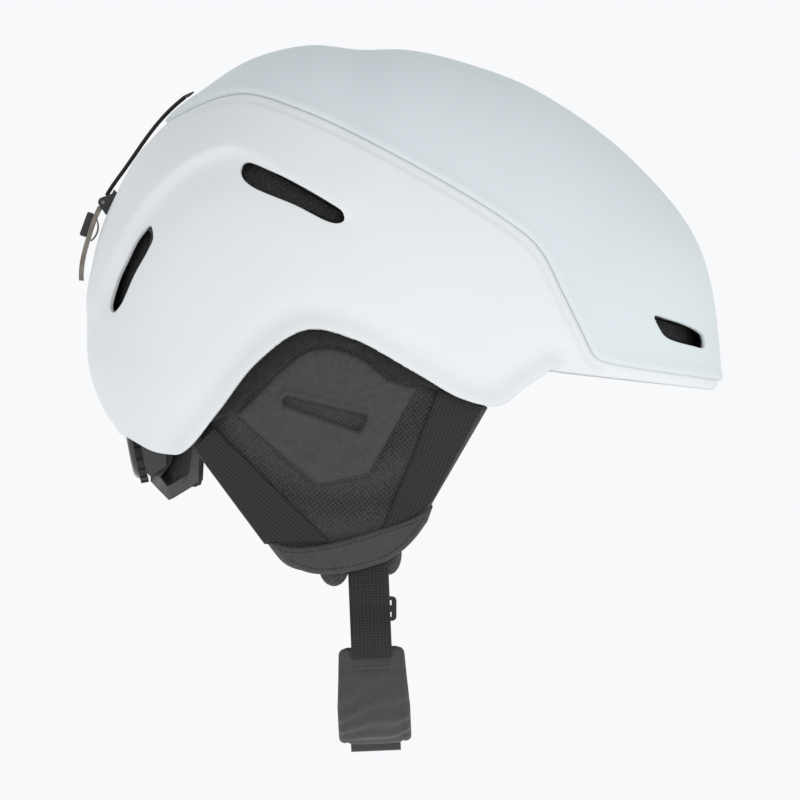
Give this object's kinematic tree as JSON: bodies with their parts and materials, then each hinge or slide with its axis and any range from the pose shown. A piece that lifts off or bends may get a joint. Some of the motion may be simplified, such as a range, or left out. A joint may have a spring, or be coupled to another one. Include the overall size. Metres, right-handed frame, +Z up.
{
  "type": "ski_helmet",
  "caption": "Ski helmet with a two-part white shell, soft dark ear pads, padded chin strap, nape dial fit system and a goggle strap retainer at the back.",
  "frame": {"origin": "Middle of the wearer's head at ear-canal height, on the mid-plane between the ear pads", "axes": "+X out of the wearer's face, +Y to the wearer's left, +Z up"},
  "size_m": [0.2842, 0.2086, 0.3114],
  "materials": {
    "white_shell": "fine matte white",
    "foam": "dark expanded foam beads",
    "slip": "smooth satin sheet",
    "pad_cloth": "brushed knit",
    "mesh_cloth": "fuzzy open mesh",
    "screen": "open foam screen",
    "webbing": "woven webbing",
    "buckle": "moulded gloss black",
    "band_plastic": "moulded matte black",
    "dial": "polished black",
    "grip": "ribbed rubber",
    "clip_plastic": "moulded black",
    "clip_metal": "satin spring steel",
    "elastic": "braided elastic"
  },
  "bodies": {
    "shell": {"upper_shell": "white_shell", "lower_shell": "white_shell", "foam_liner": "foam", "slip_liner": "slip", "brow_pad": "pad_cloth", "crown_pad": "pad_cloth", "right_side_pad": "pad_cloth", "left_side_pad": "pad_cloth", "right_ear_pad_top": "pad_cloth", "left_ear_pad_top": "pad_cloth", "right_ear_panel_top": "pad_cloth", "left_ear_panel_top": "pad_cloth", "right_ear_binding": "mesh_cloth", "left_ear_binding": "mesh_cloth", "right_side_screen": "screen", "right_rear_screen": "screen", "right_brim_screen": "screen", "right_front_crown_screen": "screen", "right_crown_screen": "screen", "left_side_screen": "screen", "left_rear_screen": "screen", "left_brim_screen": "screen", "left_front_crown_screen": "screen", "left_crown_screen": "screen", "right_temple_pin": "band_plastic", "left_temple_pin": "band_plastic", "keeper": "clip_plastic", "cord_anchor": "clip_plastic", "hinge_pin": "clip_metal", "retainer_cord": "elastic", "cord_knot": "elastic"},
    "headband": {"right_band": "band_plastic", "left_band": "band_plastic"},
    "cradle": {"nape_cradle": "band_plastic", "nape_pad": "pad_cloth", "dial_housing": "band_plastic"},
    "dial": {"dial_knob": "dial", "dial_grip": "grip"},
    "clip": {"clip_tab": "clip_metal", "clip_button": "clip_plastic", "clip_spring": "clip_metal"},
    "right_flap": {"right_ear_flap": "pad_cloth", "right_ear_panel": "pad_cloth", "right_rear_web": "webbing", "right_front_web": "webbing", "right_ear_band": "pad_cloth"},
    "left_flap": {"left_ear_flap": "pad_cloth", "left_ear_panel": "pad_cloth", "left_rear_web": "webbing", "left_front_web": "webbing", "left_ear_band": "pad_cloth"},
    "right_strap": {"right_strap_web": "webbing", "chin_pad": "pad_cloth", "buckle_female": "buckle"},
    "left_strap": {"left_strap_web": "webbing", "strap_adjuster": "buckle", "buckle_male": "buckle"}
  },
  "joints": [
    {"name": "headband_tilt", "type": "hinge", "parent": "shell", "child": "headband", "pos_m": [0.034, 0, 0.022], "axis": [0, 1, 0], "range_deg": [-1, 1]},
    {"name": "cradle_slide", "type": "slide", "parent": "headband", "child": "cradle", "axis": [1, 0, 0], "range_m": [0, 0.01]},
    {"name": "dial_turn", "type": "hinge", "parent": "cradle", "child": "dial", "pos_m": [-0.0763, 0, -0.015], "axis": [-0.9816, 0, -0.1908], "range_deg": [0, 120]},
    {"name": "clip_swing", "type": "hinge", "parent": "shell", "child": "clip", "pos_m": [-0.0979, 0, 0.0925], "axis": [0, 1, 0], "range_deg": [0, 70], "stiffness_Nm_per_rad": 0.02, "springref_deg": -17.19},
    {"name": "right_flap_fold", "type": "hinge", "parent": "shell", "child": "right_flap", "pos_m": [0, -0.096, 0], "axis": [-1, 0, 0], "range_deg": [0, 20], "stiffness_Nm_per_rad": 0.5, "springref_deg": -6.88},
    {"name": "left_flap_fold", "type": "hinge", "parent": "shell", "child": "left_flap", "pos_m": [0, 0.096, 0], "axis": [1, 0, 0], "range_deg": [0, 20], "stiffness_Nm_per_rad": 0.5, "springref_deg": -6.88},
    {"name": "right_strap_swing", "type": "hinge", "parent": "right_flap", "child": "right_strap", "pos_m": [0.0186, -0.0772, -0.058], "axis": [0, 1, 0], "range_deg": [-25, 25]},
    {"name": "left_strap_swing", "type": "hinge", "parent": "left_flap", "child": "left_strap", "pos_m": [0.0186, 0.0772, -0.058], "axis": [0, 1, 0], "range_deg": [-25, 25]}
  ],
  "couplings": [
    {"joint": "dial_turn", "follows": "cradle_slide", "rad_per_m": 209.4}
  ]
}
